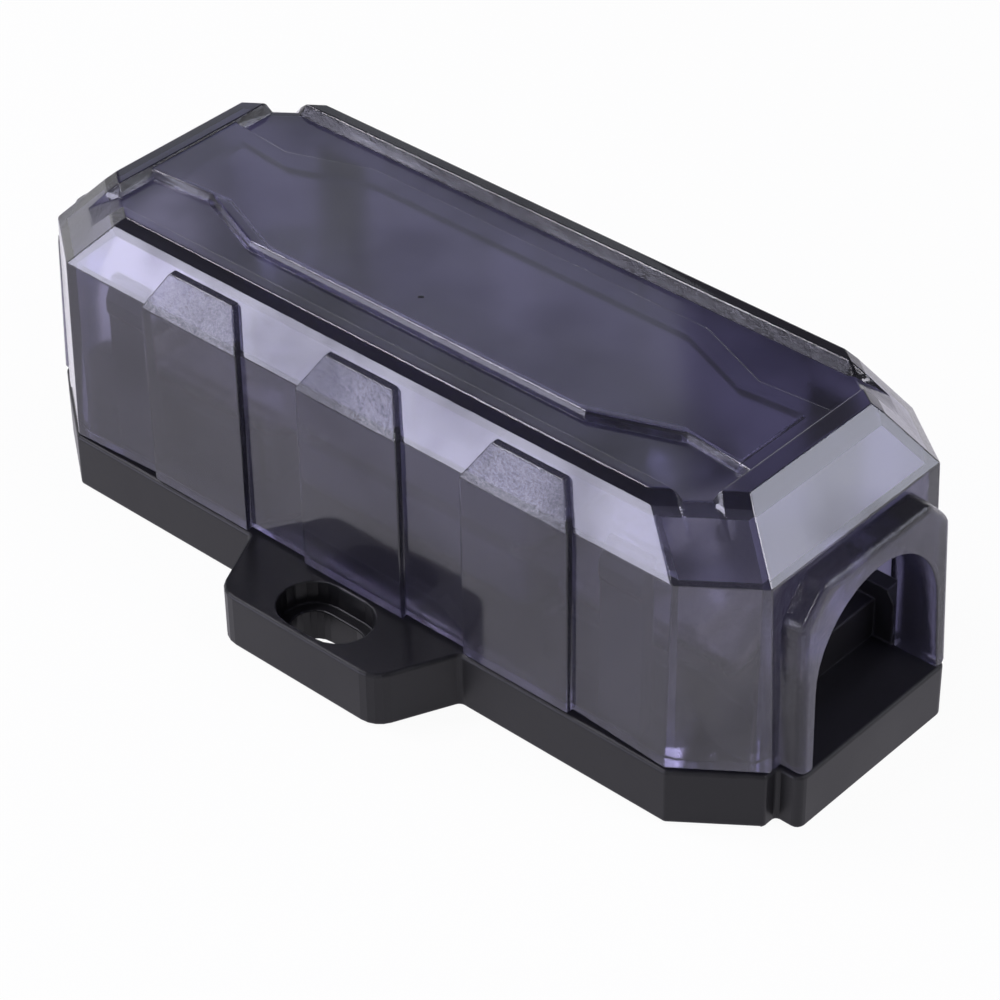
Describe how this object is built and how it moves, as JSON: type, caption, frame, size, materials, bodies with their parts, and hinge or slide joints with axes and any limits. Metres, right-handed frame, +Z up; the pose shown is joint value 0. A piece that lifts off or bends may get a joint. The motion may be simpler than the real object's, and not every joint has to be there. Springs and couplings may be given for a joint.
{
  "type": "inline strip fuse holder",
  "caption": "Inline holder for a bolted strip fuse: black moulded base with two slotted ears and a smoked lift-off cover with a cable mouth at each end.",
  "frame": {"origin": "centre of the flat underside, at the middle of the outline", "axes": "+X along the cable, +Y across towards one ear, +Z up out of the base towards the cover's top"},
  "size_m": [0.118, 0.063, 0.0399],
  "materials": {
    "base_plastic": "satin black moulding",
    "smoked_cover": "smoked clear plastic, faintly textured",
    "tinned_strip": "tin-plated copper strip",
    "fuse_body": "dark moulded fuse body",
    "fuse_window": "clear plastic",
    "plate_metal": "plain brass",
    "zinc_steel": "bright zinc-plated steel"
  },
  "bodies": {
    "base": {"base_housing": "base_plastic", "fuse_strip": "tinned_strip", "fuse_body_lower": "fuse_body", "fuse_body_upper": "fuse_body", "fuse_window": "fuse_window", "stud_left": "zinc_steel", "stud_right": "zinc_steel", "contact_plate_left": "plate_metal", "contact_plate_right": "plate_metal", "flat_washer_left": "zinc_steel", "flat_washer_right": "zinc_steel", "lock_washer_left": "zinc_steel", "lock_washer_right": "zinc_steel", "hex_nut_left": "zinc_steel", "hex_nut_right": "zinc_steel"},
    "cover": {"cover_shell": "smoked_cover"}
  },
  "joints": [
    {"name": "cover_lift", "type": "slide", "parent": "base", "child": "cover", "axis": [0, 0, 1], "range_m": [0, 0.045]}
  ]
}
